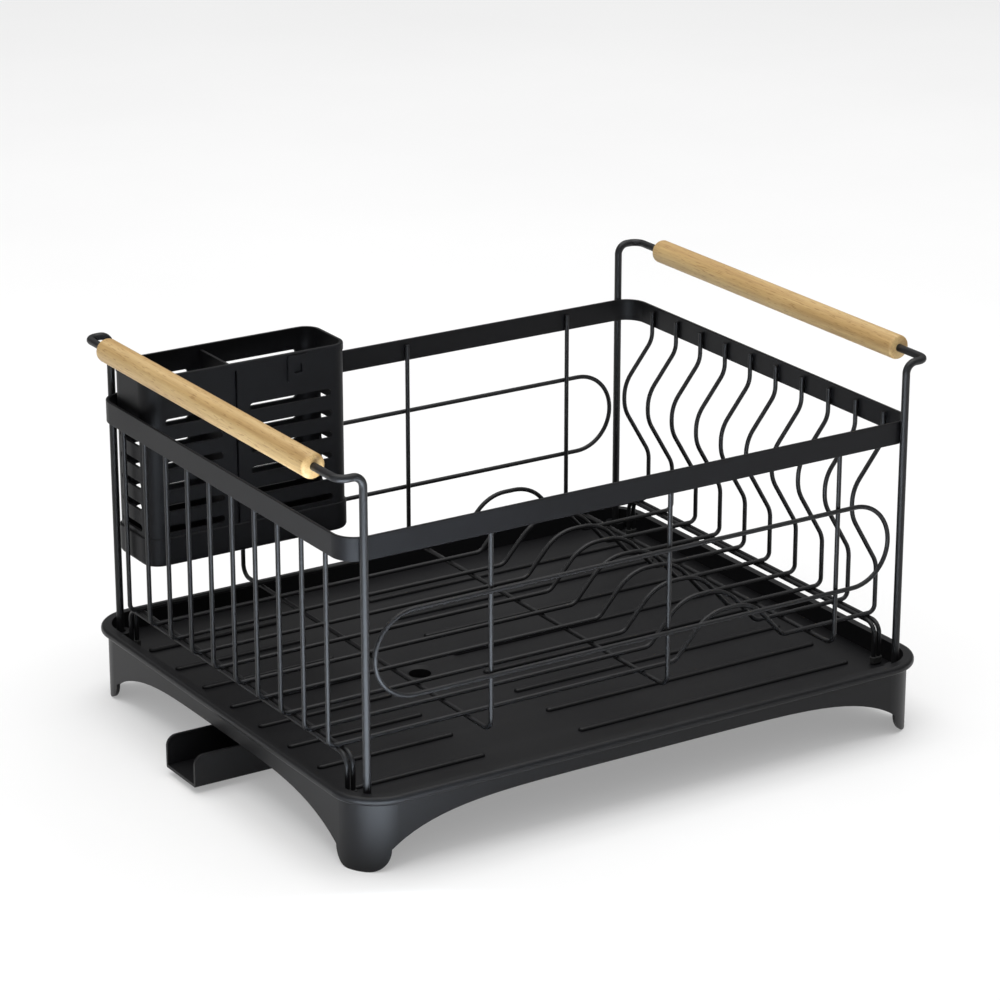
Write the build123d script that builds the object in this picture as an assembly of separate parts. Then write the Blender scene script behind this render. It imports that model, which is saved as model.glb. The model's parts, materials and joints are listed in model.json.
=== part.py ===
"""Countertop dish drying rack: wire basket, handle rods with wooden grips,
drip tray, swivelling drain spout and a hang-on cutlery caddy.

Millimetres, +Z up.  +X runs along the long side, the spout leaves the tray
towards -X, and the front is -Y.  The origin is on the table, under the middle
of the whole footprint, spout included.  Every function builds in tray
coordinates, centred on the tray, and save() moves the shape to the origin.
"""

import os
from math import cos, pi, radians, sin

from build123d import *

# ---- driving dimensions -------------------------------------------------------
WIRE = 3.0  # thin wire diameter
ROD = 5.0  # handle rod diameter

BAND_LENGTH = 420.0
BAND_WIDTH = 320.0
BAND_RADIUS = 16.0
BAND_THICKNESS = 2.0
BAND_HEIGHT = 15.0
BAND_TOP = 209.5

FLOOR_WIRE_Z = 68.5  # axis of the ten long wires
WIRE_COUNT = 10
WIRE_PITCH = 29.0
WIRE_TOP = 206.0  # where every wire ends behind the band
WIRE_BEND = 5.0

HUMP_X = 88.0  # middle of the plate humps
HUMP_HALF_BASE = 42.0
HUMP_HALF_TOP = 17.0
HUMP_HEIGHT = 27.5
HUMP_RADII = (8.0, 30.0, 30.0, 8.0)

WAVE_X = 183.5  # innermost axis of the right-hand wave
WAVE_LOW_X = 205.0  # axis below the wave
WAVE_LEVELS = (103.0, 139.0, 157.0, 186.0)  # heights of its four corners
WAVE_RADII = (18.0, 25.0, 25.0, 15.0)

CROSS_WIRE_XS = (-108.0, 22.0, 152.0)
CROSS_BEND = 8.0

LOOP_HALF_LENGTH = 190.5
LOOP_HALF_HEIGHT = 27.4
LOOP_Z = 130.4

RUNNER_X = 198.5
RUNNER_GAP = 4.0  # between the axes of its two strands
RUNNER_LEG_Y = 142.0
RUNNER_BEND = 8.0
RUNNER_FOOT_Z = 40.3
CAP_LENGTH = 8.6
CAP_WIDTH = 4.7
CAP_HEIGHT = 5.0

HANDLE_Z = 248.5
HANDLE_OFFSET = 16.4
HANDLE_BEND = 7.0
POST_ANGLE = 76.0  # where on the band's corner the post is welded
POST_FOOT_Z = 37.6
GRIP_LENGTH = 267.0
GRIP_DIAMETER = 16.0
GRIP_PLAY = 0.06  # radial

TRAY_LENGTH = 422.0  # skirt
TRAY_WIDTH = 351.0
TRAY_RADIUS = 26.0
TRAY_WALL = 2.5
LIP_REACH = 4.6
LIP_TOP = 50.3
LIP_HEIGHT = 5.6
TRAY_FLOOR_Z = 37.2
TRAY_FLOOR = 2.0
RIB_PITCH = 37.3
RIB_ROWS = 8
RIB_SPANS = ((-193.5, -96.5), (-26.8, 184.0))
RIB_WIDTH = 5.0
RIB_HEIGHT = 2.0
SINK_RADIUS = 12.0  # countersink round the drain hole
SINK_DEPTH = 1.0
ARCH_SIDE = (145.5, 32.5, 4.2, 0.95, 12.0)  # half span, height, power, flatness, foot radius
ARCH_FRONT = (189.5, 35.0, 5.6, 0.9, 14.0)
ARCH_STEPS = 16  # points on each half of an arch
SOCKET_RADIUS = 3.3
SOCKET_BOSS_RADIUS = 6.8
SOCKET_TOP = 42.5
SOCKET_ROOM = 0.4  # under the end of a post

PIVOT_X = -61.0
PIVOT_Y = 5.0
SPIGOT_RADIUS = 10.0
SPIGOT_BORE = 7.5
SPIGOT_BOTTOM = 18.5
SHOULDER_RADIUS = 14.0
SWIVEL_PLAY = 0.08  # radial
GAP = 0.3  # between bodies that don't fit into each other

SPOUT_WIDTH = 39.0
SPOUT_WALL = 2.0
SPOUT_BOTTOM = 4.5
SPOUT_TOP = 26.0
SPOUT_END_X = -237.0
SPOUT_END_RADIUS = 7.0
HUB_PLATE = 2.4
RING_RADIUS = 13.5
RING_HEIGHT = 3.0

CADDY_LEFT = -203.0
CADDY_RIGHT = -53.8
CADDY_FRONT = 104.5
CADDY_BACK = 153.5
CADDY_BOTTOM = 105.2
CADDY_TOP = 234.0
CADDY_WALL = 2.0
CADDY_RADIUS = 11.0
CADDY_BASE_STEP = 1.1  # the base stands this far proud
CADDY_BASE_HEIGHT = 19.5
CADDY_RIM_STEP = 0.5
CADDY_RIM_HEIGHT = 5.0
DIVIDER_X = -138.0
DIVIDER_THICKNESS = 2.0
DIVIDER_DROP = 3.0  # below the rim
GROOVE_WIDTH = 2.2
GROOVE_DEPTH = 2.6
GROOVE_RIB = 5.4  # width and depth of the rib behind the groove
SLOT_HEIGHT = 5.0
SLOT_PITCH = 14.5
SLOT_BOTTOM_ROW = 130.0
SLOT_ROWS = 6
SLOT_END = 13.5  # from the outside of the caddy to the slots
SLOT_INSET = 10.0  # from the divider to the slots
DRAIN_WIDTH = 4.0
DRAIN_PITCH = 14.0
HOOK_XS = (-172.0, -84.0)
HOOK_WIDTH = 16.0
HOOK_THICKNESS = 2.4
HOOK_DROP = 9.0
HOOK_ROOT = 1.0
TAB_X = -92.5
TAB_WIDTH = 15.0
TAB_START = 1.5  # below the top of the rim
TAB_DROP = 19.5
TAB_THICKNESS = 1.8
TAB_WINDOW = 6.0

# edge rounding
BAND_EDGE = 0.5
CAP_SOLE_ROUND = 1.0
CAP_TOP_ROUND = 0.6
GRIP_ROUND = 2.0
LIP_ROUND = 2.7
LIP_UNDER_ROUND = 2.2
RIB_ROUND = 1.6
TROUGH_ROUND = 1.2
RING_ROUND = 0.6
CADDY_FOOT_ROUND = 3.0
CADDY_BASE_ROUND = 0.9
CADDY_RIM_ROUND = 1.0
HOOK_ROUND = 0.9
TAB_ROUND = 1.5
TAB_WINDOW_ROUND = 0.8

# modelling allowances
CUT_PAST = 1.0  # how far a cutter runs past the face it opens
ROOT = 0.5  # how deep an added feature is sunk into its parent
BEND_SLACK = 0.05  # straight left between two bends that nearly meet

# ---- derived ------------------------------------------------------------------
BAND_BOTTOM = BAND_TOP - BAND_HEIGHT
SIDE_WIRE_X = BAND_LENGTH / 2 - BAND_THICKNESS - WIRE / 2
CROSS_WIRE_Y = BAND_WIDTH / 2 - BAND_THICKNESS - WIRE / 2
CROSS_WIRE_Z = FLOOR_WIRE_Z - WIRE
CADDY_Y = (CADDY_FRONT + CADDY_BACK) / 2
LOOP_Y = CROSS_WIRE_Y + WIRE
POST_X = BAND_LENGTH / 2 - BAND_RADIUS + (BAND_RADIUS + ROD / 2) * cos(radians(POST_ANGLE))
POST_Y = BAND_WIDTH / 2 - BAND_RADIUS + (BAND_RADIUS + ROD / 2) * sin(radians(POST_ANGLE))
HANDLE_X = POST_X + HANDLE_OFFSET
TRAY_UNDERSIDE = TRAY_FLOOR_Z - TRAY_FLOOR
ORIGIN_X = (SPOUT_END_X + HANDLE_X + GRIP_DIAMETER / 2) / 2
WIRE_YS = [WIRE_PITCH * ((WIRE_COUNT - 1) / 2 - i) for i in range(WIRE_COUNT)]


# ---- helpers ------------------------------------------------------------------
def save(shape, node):
    """Write one node, moved from tray coordinates to the origin."""
    export_step(shape.moved(Location((-ORIGIN_X, 0, 0))), f"parts/{node}.step")


def block(length, width, radius, bottom, height, x=0.0, y=0.0):
    """Upright block with rounded vertical corners."""
    return Pos(x, y, bottom) * extrude(RectangleRounded(length, width, radius), height)


def tube(radius, bottom, height, x=0.0, y=0.0):
    return Pos(x, y, bottom) * Cylinder(
        radius, height, align=(Align.CENTER, Align.CENTER, Align.MIN)
    )


def bent_wire(points, radii, diameter):
    """Round wire along straight runs joined by tangent bends."""
    path = FilletPolyline(*points, radius=radii)
    section = Plane(origin=path @ 0, z_dir=path % 0) * Circle(diameter / 2)
    return sweep(section, path=path)


def single(shape):
    """The one solid of a result that may come wrapped in a compound."""
    return shape.solid()


# ---- wire basket --------------------------------------------------------------
def rim_band():
    """Flat strip bent into a rounded rectangle, standing on edge."""
    outer = block(BAND_LENGTH, BAND_WIDTH, BAND_RADIUS, BAND_BOTTOM, BAND_HEIGHT)
    inner = block(
        BAND_LENGTH - 2 * BAND_THICKNESS,
        BAND_WIDTH - 2 * BAND_THICKNESS,
        BAND_RADIUS - BAND_THICKNESS,
        BAND_BOTTOM - CUT_PAST,
        BAND_HEIGHT + 2 * CUT_PAST,
    )
    band = outer - inner
    rims = band.faces().sort_by(Axis.Z)[-1].edges() + band.faces().sort_by(Axis.Z)[0].edges()
    return fillet(rims, BAND_EDGE)


def rack_wire(y):
    """Left side, floor, plate hump and wavy right side, all in one wire."""
    low, wave_low, wave_high, high = WAVE_LEVELS
    hump_top = FLOOR_WIRE_Z + HUMP_HEIGHT
    outline = [
        (-SIDE_WIRE_X, WIRE_TOP),
        (-SIDE_WIRE_X, FLOOR_WIRE_Z),
        (HUMP_X - HUMP_HALF_BASE, FLOOR_WIRE_Z),
        (HUMP_X - HUMP_HALF_TOP, hump_top),
        (HUMP_X + HUMP_HALF_TOP, hump_top),
        (HUMP_X + HUMP_HALF_BASE, FLOOR_WIRE_Z),
        (WAVE_LOW_X, FLOOR_WIRE_Z),
        (WAVE_LOW_X, low),
        (WAVE_X, wave_low),
        (WAVE_X, wave_high),
        (SIDE_WIRE_X, high),
        (SIDE_WIRE_X, WIRE_TOP),
    ]
    radii = [WIRE_BEND, *HUMP_RADII, WIRE_BEND, *WAVE_RADII]
    return bent_wire([(x, y, z) for x, z in outline], radii, WIRE)


def cross_wire(x):
    """U-shaped wire from the front of the band under the floor to the back."""
    outline = [
        (-CROSS_WIRE_Y, WIRE_TOP),
        (-CROSS_WIRE_Y, CROSS_WIRE_Z),
        (CROSS_WIRE_Y, CROSS_WIRE_Z),
        (CROSS_WIRE_Y, WIRE_TOP),
    ]
    return bent_wire([(x, y, z) for y, z in outline], [CROSS_BEND, CROSS_BEND], WIRE)


def guard_loop(side):
    """Racetrack-shaped closed wire welded outside the cross wires."""
    half_run = LOOP_HALF_LENGTH - LOOP_HALF_HEIGHT
    top = LOOP_Z + LOOP_HALF_HEIGHT
    bottom = LOOP_Z - LOOP_HALF_HEIGHT
    y = side * LOOP_Y
    path = Wire(
        [
            Edge.make_line((-half_run, y, top), (half_run, y, top)),
            Edge.make_three_point_arc(
                (half_run, y, top), (LOOP_HALF_LENGTH, y, LOOP_Z), (half_run, y, bottom)
            ),
            Edge.make_line((half_run, y, bottom), (-half_run, y, bottom)),
            Edge.make_three_point_arc(
                (-half_run, y, bottom), (-LOOP_HALF_LENGTH, y, LOOP_Z), (-half_run, y, top)
            ),
        ]
    )
    section = Plane(origin=(-half_run, y, top), z_dir=(1, 0, 0)) * Circle(WIRE / 2)
    return sweep(section, path=path)


def foot_runner(side):
    """Hairpin under the floor wires: two strands that turn down into short legs."""
    near, far = -RUNNER_LEG_Y, RUNNER_LEG_Y
    inner = side * (RUNNER_X - RUNNER_GAP / 2)
    outer = side * (RUNNER_X + RUNNER_GAP / 2)
    level, foot = CROSS_WIRE_Z, RUNNER_FOOT_Z
    points = [
        (inner, near, foot),
        (inner, near, level),
        (inner, far, level),
        (inner, far, foot),
        (outer, far, foot),
        (outer, far, level),
        (outer, near, level),
        (outer, near, foot),
    ]
    turn = RUNNER_GAP / 2 - BEND_SLACK
    return bent_wire(points, [RUNNER_BEND, RUNNER_BEND, turn, turn, RUNNER_BEND, RUNNER_BEND], WIRE)


def foot_caps(runners):
    """Rubber caps pushed onto the four runner legs."""
    caps = []
    for side in (-1, 1):
        for leg_y in (-RUNNER_LEG_Y, RUNNER_LEG_Y):
            cap = block(
                CAP_LENGTH,
                CAP_WIDTH,
                CAP_WIDTH / 2 - 2 * BEND_SLACK,
                TRAY_FLOOR_Z + GAP,
                CAP_HEIGHT,
                side * RUNNER_X,
                leg_y,
            )
            cap = fillet(cap.faces().sort_by(Axis.Z)[0].edges(), CAP_SOLE_ROUND)
            cap = fillet(cap.faces().sort_by(Axis.Z)[-1].edges(), CAP_TOP_ROUND)
            caps.append(single(cap - runners[side]))
    return Compound(caps)


def handle_rod(side):
    """Post, outward bend, grip run along Y, and the same back down."""
    post, grip = side * POST_X, side * HANDLE_X
    points = [
        (post, -POST_Y, POST_FOOT_Z),
        (post, -POST_Y, HANDLE_Z),
        (grip, -POST_Y, HANDLE_Z),
        (grip, POST_Y, HANDLE_Z),
        (post, POST_Y, HANDLE_Z),
        (post, POST_Y, POST_FOOT_Z),
    ]
    return bent_wire(points, [HANDLE_BEND] * 4, ROD)


def handle_grip(side):
    """Turned wooden sleeve, free to spin on the rod."""
    grip = Cylinder(GRIP_DIAMETER / 2, GRIP_LENGTH)
    grip = fillet(grip.edges(), GRIP_ROUND)
    bore = Cylinder(ROD / 2 + GRIP_PLAY, GRIP_LENGTH + 2 * CUT_PAST)
    return Pos(side * HANDLE_X, 0, HANDLE_Z) * Rot(90, 0, 0) * (grip - bore)


# ---- drip tray ----------------------------------------------------------------
def arch(half, height, power, flatness, foot):
    """Upright face under a super-elliptic arch with rounded feet, drawn in the XZ plane."""
    crown = []
    for i in range(-ARCH_STEPS, ARCH_STEPS + 1):
        u = sin(pi / 2 * i / ARCH_STEPS)
        rise = (1 - min(abs(u), 1) ** power) ** flatness
        crown.append((half * u, foot + (height - foot) * rise))
    toe = half + foot
    bend = foot * sin(pi / 4)
    right = ThreePointArc(crown[-1], (toe - bend, foot - bend), (toe, 0))
    left = ThreePointArc((-toe, 0), (bend - toe, foot - bend), crown[0])
    ground = Polyline((toe, 0), (toe, -CUT_PAST), (-toe, -CUT_PAST), (-toe, 0))
    return Plane.XZ * make_face([Spline(*crown), right, ground, left])


def skirt_arches():
    """Cutters for the four arches between the feet."""
    front = extrude(arch(*ARCH_FRONT), TRAY_LENGTH, both=True)
    side = extrude(arch(*ARCH_SIDE), TRAY_LENGTH, both=True)
    return front, Rot(0, 0, 90) * side


def drip_tray():
    """Shallow moulded basin with a rolled lip, ribs, drain and four feet."""
    inner_length = TRAY_LENGTH - 2 * TRAY_WALL
    inner_width = TRAY_WIDTH - 2 * TRAY_WALL
    inner_radius = TRAY_RADIUS - TRAY_WALL
    skirt = block(TRAY_LENGTH, TRAY_WIDTH, TRAY_RADIUS, 0, LIP_TOP - LIP_HEIGHT + ROOT)
    lip = block(
        TRAY_LENGTH + 2 * LIP_REACH,
        TRAY_WIDTH + 2 * LIP_REACH,
        TRAY_RADIUS + LIP_REACH,
        LIP_TOP - LIP_HEIGHT,
        LIP_HEIGHT,
    )
    lip = fillet(lip.faces().sort_by(Axis.Z)[-1].edges(), LIP_ROUND)
    lip = fillet(lip.faces().sort_by(Axis.Z)[0].edges(), LIP_UNDER_ROUND)
    basin = block(inner_length, inner_width, inner_radius, TRAY_FLOOR_Z, LIP_TOP)
    hollow = block(inner_length, inner_width, inner_radius, -CUT_PAST, TRAY_UNDERSIDE + CUT_PAST)
    for cutter in skirt_arches():
        skirt -= cutter
    tray = skirt + lip - basin - hollow
    tray += ribs() + sockets() + drain()
    for x, y in post_places():
        tray -= tube(SOCKET_RADIUS, POST_FOOT_Z - SOCKET_ROOM, LIP_TOP, x, y)
    tray -= drain_hole()
    return single(tray)


def post_places():
    return [(sx * POST_X, sy * POST_Y) for sx in (-1, 1) for sy in (-1, 1)]


def ribs():
    """Raised bars that keep the basin's floor free-draining."""
    made = []
    for row in range(RIB_ROWS):
        y = RIB_PITCH * (row - (RIB_ROWS - 1) / 2)
        for start, end in RIB_SPANS:
            bar = extrude(SlotOverall(end - start, RIB_WIDTH), RIB_HEIGHT + ROOT)
            bar = fillet(bar.faces().sort_by(Axis.Z)[-1].edges(), RIB_ROUND)
            made.append(Pos((start + end) / 2, y, TRAY_FLOOR_Z - ROOT) * bar)
    return made


def sockets():
    """Bosses in the basin's corners that the handle posts stand in."""
    height = SOCKET_TOP - TRAY_FLOOR_Z + ROOT
    return [tube(SOCKET_BOSS_RADIUS, TRAY_FLOOR_Z - ROOT, height, x, y) for x, y in post_places()]


def drain():
    """Shoulder and spigot under the drain hole, which the spout turns on."""
    top = TRAY_FLOOR_Z - SINK_DEPTH
    seat = SPOUT_TOP + GAP
    shoulder = tube(SHOULDER_RADIUS, seat, top - seat, PIVOT_X, PIVOT_Y)
    spigot = tube(SPIGOT_RADIUS, SPIGOT_BOTTOM, top - SPIGOT_BOTTOM, PIVOT_X, PIVOT_Y)
    return [shoulder, spigot]


def drain_hole():
    """Bore through the spigot with a shallow countersink at the tray's floor."""
    sink = Cone(SPIGOT_BORE, SINK_RADIUS, SINK_DEPTH, align=(Align.CENTER, Align.CENTER, Align.MAX))
    bore = tube(SPIGOT_BORE, SPIGOT_BOTTOM - CUT_PAST, TRAY_FLOOR_Z, PIVOT_X, PIVOT_Y)
    return bore + Pos(PIVOT_X, PIVOT_Y, TRAY_FLOOR_Z) * sink


# ---- drain spout --------------------------------------------------------------
def spout_plan(margin, end_x, bottom, height):
    """Straight run with a round end at the pivot, inset by margin."""
    half = SPOUT_WIDTH / 2 - margin
    run = Pos((end_x + PIVOT_X) / 2, PIVOT_Y, bottom) * Box(
        PIVOT_X - end_x, 2 * half, height, align=(Align.CENTER, Align.CENTER, Align.MIN)
    )
    return run + tube(half, bottom, height, PIVOT_X, PIVOT_Y)


def drain_spout():
    """Open trough with a roofed hub that turns on the tray's spigot."""
    trough = spout_plan(0, SPOUT_END_X, SPOUT_BOTTOM, SPOUT_TOP - SPOUT_BOTTOM)
    trough = fillet(trough.edges().filter_by(Axis.X).sort_by(Axis.Z)[:2], TROUGH_ROUND)
    corner = trough.edges().filter_by(Axis.Y).sort_by(Axis.X)[:2].sort_by(Axis.Z)[-1:]
    trough = fillet(corner, SPOUT_END_RADIUS)
    trough -= spout_plan(SPOUT_WALL, SPOUT_END_X - CUT_PAST, SPOUT_BOTTOM + SPOUT_WALL, SPOUT_TOP)
    roof = tube(SPOUT_WIDTH / 2, SPOUT_TOP - HUB_PLATE, HUB_PLATE, PIVOT_X, PIVOT_Y)
    trough += roof
    under_roof = SPOUT_TOP - HUB_PLATE - CUT_PAST
    trough -= tube(
        SPIGOT_RADIUS + SWIVEL_PLAY, under_roof, HUB_PLATE + 2 * CUT_PAST, PIVOT_X, PIVOT_Y
    )
    return single(trough)


def spout_ring():
    """Push-on ring that holds the spout's hub on the spigot."""
    top = SPOUT_TOP - HUB_PLATE - GAP
    ring = tube(RING_RADIUS, top - RING_HEIGHT, RING_HEIGHT, PIVOT_X, PIVOT_Y)
    ring = fillet(ring.edges(), RING_ROUND)
    bottom = top - RING_HEIGHT - CUT_PAST
    bore = tube(SPIGOT_RADIUS, bottom, RING_HEIGHT + 2 * CUT_PAST, PIVOT_X, PIVOT_Y)
    return single(ring - bore)


# ---- cutlery caddy ------------------------------------------------------------
def caddy_block(outset, bottom, height):
    """The caddy's outline as a rounded block, grown outwards by outset."""
    return block(
        CADDY_RIGHT - CADDY_LEFT + 2 * outset,
        CADDY_BACK - CADDY_FRONT + 2 * outset,
        CADDY_RADIUS + outset,
        bottom,
        height,
        (CADDY_LEFT + CADDY_RIGHT) / 2,
        CADDY_Y,
    )


def caddy_body():
    """Proud base, straight walls and a proud rim, still solid."""
    body = caddy_block(0, CADDY_BOTTOM, CADDY_TOP - CADDY_BOTTOM)
    base = caddy_block(CADDY_BASE_STEP, CADDY_BOTTOM, CADDY_BASE_HEIGHT)
    base = fillet(base.faces().sort_by(Axis.Z)[0].edges(), CADDY_FOOT_ROUND)
    base = fillet(base.faces().sort_by(Axis.Z)[-1].edges(), CADDY_BASE_ROUND)
    rim = caddy_block(CADDY_RIM_STEP, CADDY_TOP - CADDY_RIM_HEIGHT, CADDY_RIM_HEIGHT)
    rim = fillet(rim.faces().sort_by(Axis.Z)[-1].edges(), CADDY_RIM_ROUND)
    body = fillet(body.faces().sort_by(Axis.Z)[0].edges(), CADDY_FOOT_ROUND)
    return body + base + rim


def caddy_pockets():
    """Room for the cutlery on both sides of the divider."""
    floor = CADDY_BOTTOM + CADDY_WALL
    room = caddy_block(-CADDY_WALL, floor, CADDY_TOP)
    divider_height = CADDY_TOP - DIVIDER_DROP - floor
    on_floor = (Align.CENTER, Align.CENTER, Align.MIN)
    depth = CADDY_BACK - CADDY_FRONT
    divider = Pos(DIVIDER_X, CADDY_Y, floor) * Box(
        DIVIDER_THICKNESS, depth, divider_height, align=on_floor
    )
    rib = Pos(DIVIDER_X, CADDY_FRONT, floor) * Box(
        GROOVE_RIB, 2 * GROOVE_RIB, divider_height, align=on_floor
    )
    return room - divider - rib


def front_groove():
    """Narrow upright groove in front of the divider, from the base to the rim."""
    height = CADDY_TOP - CADDY_RIM_HEIGHT - CADDY_BOTTOM - CADDY_BASE_HEIGHT
    return Pos(DIVIDER_X, CADDY_FRONT, CADDY_BOTTOM + CADDY_BASE_HEIGHT) * Box(
        GROOVE_WIDTH, 2 * GROOVE_DEPTH, height, align=(Align.CENTER, Align.CENTER, Align.MIN)
    )


def slot_spans():
    """(left, right) X spans of the slots of the two compartments."""
    return (
        (CADDY_LEFT + SLOT_END, DIVIDER_X - SLOT_INSET),
        (DIVIDER_X + SLOT_INSET, CADDY_RIGHT - SLOT_END),
    )


def slot_cutter(length, x, y, z, along_y=False):
    """Round-ended horizontal slot through a wall."""
    slot = Rot(90, 0, 0) * extrude(SlotOverall(length, SLOT_HEIGHT), 3 * CADDY_WALL, both=True)
    if along_y:
        slot = Rot(0, 0, 90) * slot
    return Pos(x, y, z) * slot


def caddy_slots():
    """Rows of slots in every outer wall, with one more row high at the back."""
    cutters = []
    side_length = CADDY_BACK - CADDY_FRONT - 2 * CADDY_RADIUS
    for row in range(SLOT_ROWS + 1):
        z = SLOT_BOTTOM_ROW + row * SLOT_PITCH
        for left, right in slot_spans():
            x = (left + right) / 2
            cutters.append(slot_cutter(right - left, x, CADDY_BACK, z))
            if row < SLOT_ROWS:
                cutters.append(slot_cutter(right - left, x, CADDY_FRONT, z))
        if row < SLOT_ROWS:
            for x in (CADDY_LEFT, CADDY_RIGHT):
                cutters.append(slot_cutter(side_length, x, CADDY_Y, z, True))
    return cutters


def caddy_drains():
    """Drain slots through the bottom of each compartment."""
    cutters = []
    for left, right in slot_spans():
        for offset in (-DRAIN_PITCH, 0, DRAIN_PITCH):
            slot = extrude(SlotOverall(right - left, DRAIN_WIDTH), 2 * CADDY_WALL, both=True)
            cutters.append(Pos((left + right) / 2, CADDY_Y + offset, CADDY_BOTTOM) * slot)
    return cutters


def caddy_hook(x):
    """Hook that hangs on the band at the back."""
    band_outside = BAND_WIDTH / 2
    reach = band_outside + GAP + HOOK_THICKNESS - CADDY_BACK + HOOK_ROOT
    arm = Pos(x, CADDY_BACK - HOOK_ROOT + reach / 2, BAND_TOP + GAP) * Box(
        HOOK_WIDTH, reach, HOOK_THICKNESS, align=(Align.CENTER, Align.CENTER, Align.MIN)
    )
    drop = Pos(x, band_outside + GAP + HOOK_THICKNESS / 2, BAND_TOP + GAP - HOOK_DROP) * Box(
        HOOK_WIDTH,
        HOOK_THICKNESS,
        HOOK_DROP + HOOK_THICKNESS,
        align=(Align.CENTER, Align.CENTER, Align.MIN),
    )
    hook = arm + drop
    return fillet(hook.edges().filter_by(Axis.X).sort_by(Axis.Y)[-2:], HOOK_ROUND)


def caddy_tab():
    """Small square-windowed tab that hangs from the rim at the front."""
    drop = TAB_DROP - TAB_START
    plate = extrude(RectangleRounded(TAB_WIDTH, drop, TAB_ROUND), TAB_THICKNESS + ROOT)
    window = RectangleRounded(TAB_WINDOW, TAB_WINDOW, TAB_WINDOW_ROUND)
    tab = plate - Pos(0, 0, ROOT) * extrude(window, TAB_THICKNESS + CUT_PAST)
    middle = CADDY_TOP - TAB_DROP + drop / 2
    return Pos(TAB_X, CADDY_FRONT + ROOT, middle) * Rot(90, 0, 0) * tab


def cutlery_caddy():
    """Slotted box with a divider, a proud base and rim, and two back hooks."""
    caddy = caddy_body() - front_groove() + caddy_tab()
    for x in HOOK_XS:
        caddy += caddy_hook(x)
    caddy -= caddy_pockets()
    for cutter in caddy_slots() + caddy_drains():
        caddy -= cutter
    return single(caddy)


# ---- the whole rack -----------------------------------------------------------
def main():
    os.makedirs("parts", exist_ok=True)
    save(rim_band(), "rim_band")
    for number, y in enumerate(WIRE_YS, start=1):
        save(rack_wire(y), f"rack_wire_{number:02d}")
    for number, x in enumerate(CROSS_WIRE_XS, start=1):
        save(cross_wire(x), f"cross_wire_{number}")
    save(guard_loop(-1), "guard_loop_front")
    save(guard_loop(1), "guard_loop_back")
    runners = {side: foot_runner(side) for side in (-1, 1)}
    save(foot_caps(runners), "runner_foot_caps")
    for side, name in ((-1, "left"), (1, "right")):
        save(runners[side], f"foot_runner_{name}")
        save(handle_rod(side), f"handle_rod_{name}")
        save(handle_grip(side), f"handle_grip_{name}")
    save(drip_tray(), "drip_tray")
    save(drain_spout(), "drain_spout")
    save(spout_ring(), "spout_ring")
    save(cutlery_caddy(), "cutlery_caddy")


main()
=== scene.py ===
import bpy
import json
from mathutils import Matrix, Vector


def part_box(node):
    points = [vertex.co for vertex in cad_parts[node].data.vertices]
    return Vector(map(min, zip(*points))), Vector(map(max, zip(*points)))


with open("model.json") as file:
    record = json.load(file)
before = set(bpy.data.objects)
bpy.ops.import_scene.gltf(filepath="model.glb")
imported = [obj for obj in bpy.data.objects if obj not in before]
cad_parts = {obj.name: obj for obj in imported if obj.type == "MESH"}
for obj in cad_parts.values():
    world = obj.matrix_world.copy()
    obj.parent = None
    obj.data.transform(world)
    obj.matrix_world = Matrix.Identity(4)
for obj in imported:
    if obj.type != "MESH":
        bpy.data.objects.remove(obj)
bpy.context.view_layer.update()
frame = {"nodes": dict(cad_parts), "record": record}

import json
from math import atan, cos, radians, sin

import bpy
from mathutils import Vector

# ---- camera, in metres and degrees ---------------------------------------------
CAMERA_AZIMUTH = -32.36
CAMERA_ELEVATION = 19.8
CAMERA_DISTANCE = 2.3763
CAMERA_LENS = 131.18
CAMERA_SENSOR = 36
CAMERA_CLIP = (0.05, 60)
CAMERA_AIM = Vector((0.0061, 0.0135, 0.1406))  # from the middle of the tray's base

# ---- light ---------------------------------------------------------------------
WALL_LIGHT = 0.20
CEILING_LIGHT = 0.9
CEILING_START, CEILING_FULL = 0.30, 0.85  # heights on the dome, 0 at the horizon, 1 overhead
BACKDROP_LIGHT = 0.7  # what the camera sees above the floor, as bright as its far edge
FLOOR_GLOW = 0.30
FLOOR_SIZE = 30
LIGHT_AIM = Vector((0, 0, 0.1))
OVERHEAD = {"place": (0.0, 0.1, 2.6), "size": (2.8, 2.4), "power": 50, "colour": (1, 1, 1)}
LEFT_BOX = {"place": (-2.8, -0.4, 1.3), "size": (1.6, 1.4), "power": 4, "colour": (0.97, 0.98, 1.0)}
POOL_CORNER = 0.015  # how far inside the tray's box its near-left corner turns
POOL_OFFSET = Vector((-0.1584, -0.324, 0))  # from that corner to the middle of the pool
POOL_RADIUS = 0.31
POOL_EDGE = 0.25
POOL_LAMP_HEIGHT = 2.5
POOL_LAMP_RADIUS = 0.03
POOL_POWER = 4400.0
POOL_COLOUR = (0.78, 0.88, 1.0)

# ---- colours, linear -----------------------------------------------------------
COAT_BLACK = (0.010, 0.010, 0.011)
BAND_BLACK = (0.0075, 0.0075, 0.0085)
TRAY_BLACK = (0.010, 0.010, 0.011)
CADDY_BLACK = (0.007, 0.007, 0.008)
SPOUT_BLACK = (0.008, 0.008, 0.009)
DARKER = 0.8  # how much darker the dark patches of a black surface are
RUBBER_TONES = ((0.012, 0.012, 0.012), (0.02, 0.02, 0.02))
WOOD_TONES = ((0.41, 0.25, 0.09), (0.51, 0.335, 0.135), (0.61, 0.435, 0.205))
FIBRE_SHADE = (0.80, 0.76, 0.70)
VESSEL_SHADE = (0.62, 0.52, 0.42)
VESSEL_DEPTH = 0.8
FLOOR_TONES = ((0.60, 0.60, 0.60), (0.63, 0.63, 0.63))
WHITE = (1.0, 1.0, 1.0)

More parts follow.
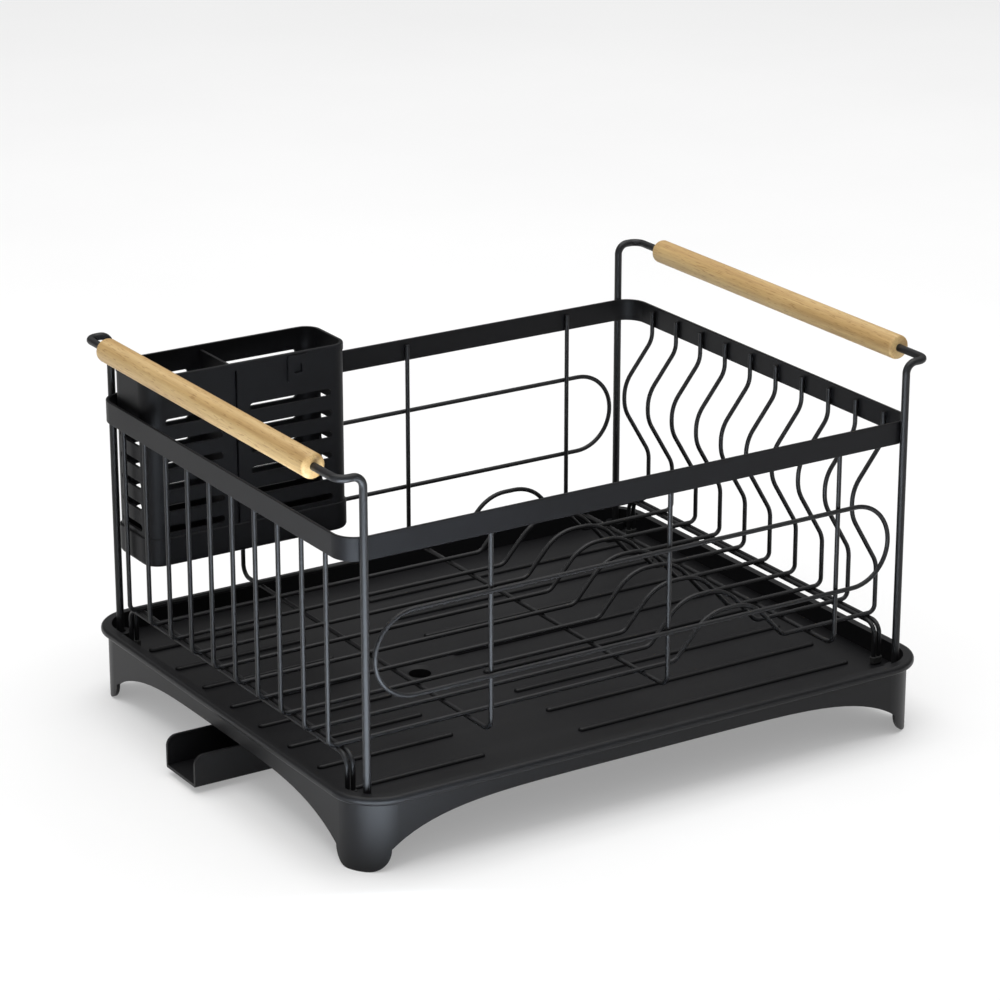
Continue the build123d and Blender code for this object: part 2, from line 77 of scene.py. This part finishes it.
TRAY_LOW, TRAY_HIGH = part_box("drip_tray")
TRAY_MIDDLE = Vector(((TRAY_LOW.x + TRAY_HIGH.x) / 2, (TRAY_LOW.y + TRAY_HIGH.y) / 2, 0))


# ---- node helpers --------------------------------------------------------------
def new_material(name):
    """Material with a Principled shader, returned with functions that add and link nodes."""
    material = bpy.data.materials.new(name)
    material.use_nodes = True
    tree = material.node_tree
    shader = tree.nodes["Principled BSDF"]

    def node(kind, settings=None, **inputs):
        made = tree.nodes.new(kind)
        for key, value in (settings or {}).items():
            setattr(made, key, value)
        for key, value in inputs.items():
            socket = made.inputs[key.replace("_", " ")]
            if isinstance(value, bpy.types.NodeSocket):
                tree.links.new(value, socket)
            else:
                socket.default_value = value
        return made

    return material, shader, node, tree.links.new


def object_place(node):
    """Position on the object, which stays with it when it moves."""
    return node("ShaderNodeTexCoord").outputs["Object"]


def ramp(node, source, stops):
    """Colour ramp through the given (position, colour) stops."""
    made = node("ShaderNodeValToRGB", Fac=source)
    elements = made.color_ramp.elements
    while len(elements) < len(stops):
        elements.new(0.5)
    for element, (position, colour) in zip(elements, stops):
        element.position = position
        element.color = (*colour, 1.0)
    return made.outputs["Color"]


def grey_range(node, source, low, high):
    """Maps a 0..1 texture value to a number between low and high."""
    made = node("ShaderNodeMapRange", Value=source, To_Min=low, To_Max=high)
    return made.outputs["Result"]


def noise(node, vector, scale, detail=4.0, roughness=0.5):
    made = node(
        "ShaderNodeTexNoise", Vector=vector, Scale=scale, Detail=detail, Roughness=roughness
    )
    return made.outputs["Fac"]


def multiply(node, link, base, shade, amount):
    """Darkens one colour by another."""
    mix = node("ShaderNodeMix", {"data_type": "RGBA", "blend_type": "MULTIPLY"})
    mix.inputs["Factor"].default_value = amount
    link(base, mix.inputs["A"])
    link(shade, mix.inputs["B"])
    return mix.outputs["Result"]


def bumped(node, link, shader, height, strength, distance=0.0002):
    """Puts a fine relief on the shader's normal."""
    bump = node("ShaderNodeBump", Strength=strength, Distance=distance, Height=height)
    link(bump.outputs["Normal"], shader.inputs["Normal"])


# ---- materials -----------------------------------------------------------------
def powder_coat(name, tone, shine):
    """Satin black powder coat with its fine orange peel."""
    material, shader, node, link = new_material(name)
    place = object_place(node)
    broad = noise(node, place, 14.0)
    peel = noise(node, place, 900.0, 3.0)
    dark = [channel * DARKER for channel in tone]
    link(ramp(node, broad, [(0.3, dark), (0.7, tone)]), shader.inputs["Base Color"])
    link(grey_range(node, broad, 0.36, 0.48), shader.inputs["Roughness"])
    shader.inputs["Specular IOR Level"].default_value = shine
    bumped(node, link, shader, peel, 0.12, 0.0003)
    return material


def moulded_plastic(name, tone, smoothest, roughest, grain, shine):
    """Black moulded plastic: fine spark-eroded grain and faint flow marks."""
    material, shader, node, link = new_material(name)
    place = object_place(node)
    flow = noise(node, place, 9.0, 5.0, 0.6)
    fine = noise(node, place, 1600.0, 2.0)
    dark = [channel * DARKER for channel in tone]
    link(ramp(node, flow, [(0.3, dark), (0.75, tone)]), shader.inputs["Base Color"])
    link(grey_range(node, flow, smoothest, roughest), shader.inputs["Roughness"])
    shader.inputs["Specular IOR Level"].default_value = shine
    bumped(node, link, shader, fine, grain)
    return material


def soft_rubber(name):
    """Matt black rubber."""
    material, shader, node, link = new_material(name)
    dust = noise(node, object_place(node), 300.0, 4.0)
    low, high = RUBBER_TONES
    link(ramp(node, dust, [(0.3, low), (0.8, high)]), shader.inputs["Base Color"])
    link(grey_range(node, dust, 0.7, 0.85), shader.inputs["Roughness"])
    bumped(node, link, shader, dust, 0.2)
    return material


def bamboo(name):
    """Light bamboo turned along Y: long fibres, darker strips and short vessel marks."""
    material, shader, node, link = new_material(name)
    place = object_place(node)
    along = node("ShaderNodeMapping", Vector=place, Scale=(1.0, 0.03, 1.0)).outputs["Vector"]
    dashes = node("ShaderNodeMapping", Vector=place, Scale=(1.0, 0.08, 1.0)).outputs["Vector"]
    fibre = noise(node, along, 900.0, 4.0, 0.6)
    strip = noise(node, along, 160.0, 2.0)
    vessel = noise(node, dashes, 1500.0, 1.0)
    warm = ramp(node, strip, list(zip((0.30, 0.5, 0.72), WOOD_TONES)))
    fine = ramp(node, fibre, [(0.3, FIBRE_SHADE), (0.65, WHITE)])
    marks = ramp(node, vessel, [(0.30, VESSEL_SHADE), (0.40, WHITE)])
    grained = multiply(node, link, warm, fine, 1.0)
    marked = multiply(node, link, grained, marks, VESSEL_DEPTH)
    link(marked, shader.inputs["Base Color"])
    link(grey_range(node, fibre, 0.42, 0.58), shader.inputs["Roughness"])
    bumped(node, link, shader, fibre, 0.25)
    return material


def floor_paint():
    """Matt white table, faintly lit from below like a light table."""
    material, shader, node, link = new_material("pale_floor")
    soft = noise(node, object_place(node), 3.0)
    low, high = FLOOR_TONES
    link(ramp(node, soft, [(0.2, low), (0.8, high)]), shader.inputs["Base Color"])
    shader.inputs["Roughness"].default_value = 0.9
    shader.inputs["Specular IOR Level"].default_value = 0.1
    shader.inputs["Emission Color"].default_value = (*WHITE, 1.0)
    shader.inputs["Emission Strength"].default_value = FLOOR_GLOW
    return material


def dress(name, material):
    """Puts a material on a CAD node."""
    node = frame["nodes"][name]
    node.data.materials.clear()
    node.data.materials.append(material)


def dress_all():
    """One material for each slot of the record."""
    spout = moulded_plastic("spout_plastic", SPOUT_BLACK, 0.40, 0.54, 0.25, 0.22)
    by_slot = {
        "wire_coating": powder_coat("black_powder_coat", COAT_BLACK, 0.31),
        "band_coating": powder_coat("band_powder_coat", BAND_BLACK, 0.16),
        "tray_plastic": moulded_plastic("tray_plastic", TRAY_BLACK, 0.32, 0.46, 0.15, 0.20),
        "caddy_plastic": moulded_plastic("caddy_plastic", CADDY_BLACK, 0.40, 0.54, 0.25, 0.15),
        "spout_plastic": spout,
        "ring_plastic": spout,
        "cap_rubber": soft_rubber("cap_rubber"),
        "grip_wood": bamboo("grip_bamboo"),
    }
    for part in frame["record"]["subparts"]:
        dress(part["node"], by_slot[part["material_slot"]])


# ---- stage ---------------------------------------------------------------------
def make_floor():
    """Pale floor that runs on to the horizon."""
    bpy.ops.mesh.primitive_plane_add(size=FLOOR_SIZE, location=(0, 0, 0))
    floor = bpy.context.object
    floor.name = "floor"
    floor.data.materials.append(floor_paint())


def make_world():
    """Studio dome: dim walls and a brighter ceiling, behind a white backdrop."""
    world = bpy.data.worlds.new("studio_dome")
    world.use_nodes = True
    tree = world.node_tree
    place = tree.nodes.new("ShaderNodeTexCoord")
    split = tree.nodes.new("ShaderNodeSeparateXYZ")
    shade = tree.nodes.new("ShaderNodeMapRange")
    shade.interpolation_type = "SMOOTHSTEP"
    shade.inputs["From Min"].default_value = CEILING_START
    shade.inputs["From Max"].default_value = CEILING_FULL
    shade.inputs["To Min"].default_value = WALL_LIGHT
    shade.inputs["To Max"].default_value = CEILING_LIGHT
    tree.links.new(place.outputs["Generated"], split.inputs["Vector"])
    tree.links.new(split.outputs["Z"], shade.inputs["Value"])
    backdrop = tree.nodes.new("ShaderNodeMix")
    backdrop.inputs["B"].default_value = BACKDROP_LIGHT
    seen = tree.nodes.new("ShaderNodeLightPath")
    tree.links.new(seen.outputs["Is Camera Ray"], backdrop.inputs["Factor"])
    tree.links.new(shade.outputs["Result"], backdrop.inputs["A"])
    background = tree.nodes["Background"]
    background.inputs["Color"].default_value = (*WHITE, 1.0)
    tree.links.new(backdrop.outputs["Result"], background.inputs["Strength"])
    bpy.context.scene.world = world


def area_light(name, place, size, power, colour):
    """Rectangular soft box turned towards the rack."""
    data = bpy.data.lights.new(name, "AREA")
    data.shape = "RECTANGLE"
    data.size, data.size_y = size
    data.energy = power
    data.color = colour
    light = bpy.data.objects.new(name, data)
    light.location = Vector(place)
    light.rotation_euler = (LIGHT_AIM - Vector(place)).to_track_quat("-Z", "Y").to_euler()
    bpy.context.scene.collection.objects.link(light)


def floor_pool():
    """Cool pool of light on the floor in front of the near-left corner.

    It clears the rack, so it only shows as the soft reflection on the tray's corner,
    the band's corner and the posts.
    """
    corner = Vector((TRAY_LOW.x + POOL_CORNER, TRAY_LOW.y + POOL_CORNER, 0))
    data = bpy.data.lights.new("floor_pool", "SPOT")
    data.energy = POOL_POWER
    data.color = POOL_COLOUR
    data.spot_size = 2 * atan(POOL_RADIUS / POOL_LAMP_HEIGHT)
    data.spot_blend = POOL_EDGE
    data.shadow_soft_size = POOL_LAMP_RADIUS
    lamp = bpy.data.objects.new("floor_pool", data)
    lamp.location = corner + POOL_OFFSET + Vector((0, 0, POOL_LAMP_HEIGHT))
    bpy.context.scene.collection.objects.link(lamp)


def make_lights():
    area_light("overhead", **OVERHEAD)
    area_light("left_box", **LEFT_BOX)
    floor_pool()


def make_camera():
    """Camera at the usual three-quarter view, near-left corner towards it."""
    azimuth, elevation = radians(CAMERA_AZIMUTH), radians(CAMERA_ELEVATION)
    back = Vector(
        (sin(azimuth) * cos(elevation), -cos(azimuth) * cos(elevation), sin(elevation))
    )
    data = bpy.data.cameras.new("camera")
    data.lens = CAMERA_LENS
    data.sensor_width = CAMERA_SENSOR
    data.clip_start, data.clip_end = CAMERA_CLIP
    camera = bpy.data.objects.new("camera", data)
    camera.location = TRAY_MIDDLE + CAMERA_AIM + back * CAMERA_DISTANCE
    camera.rotation_euler = (-back).to_track_quat("-Z", "Y").to_euler()
    bpy.context.scene.collection.objects.link(camera)
    bpy.context.scene.camera = camera


# ---- the scene -----------------------------------------------------------------
bpy.context.scene.view_settings.view_transform = "Standard"
make_camera()
make_world()
make_lights()
make_floor()
dress_all()
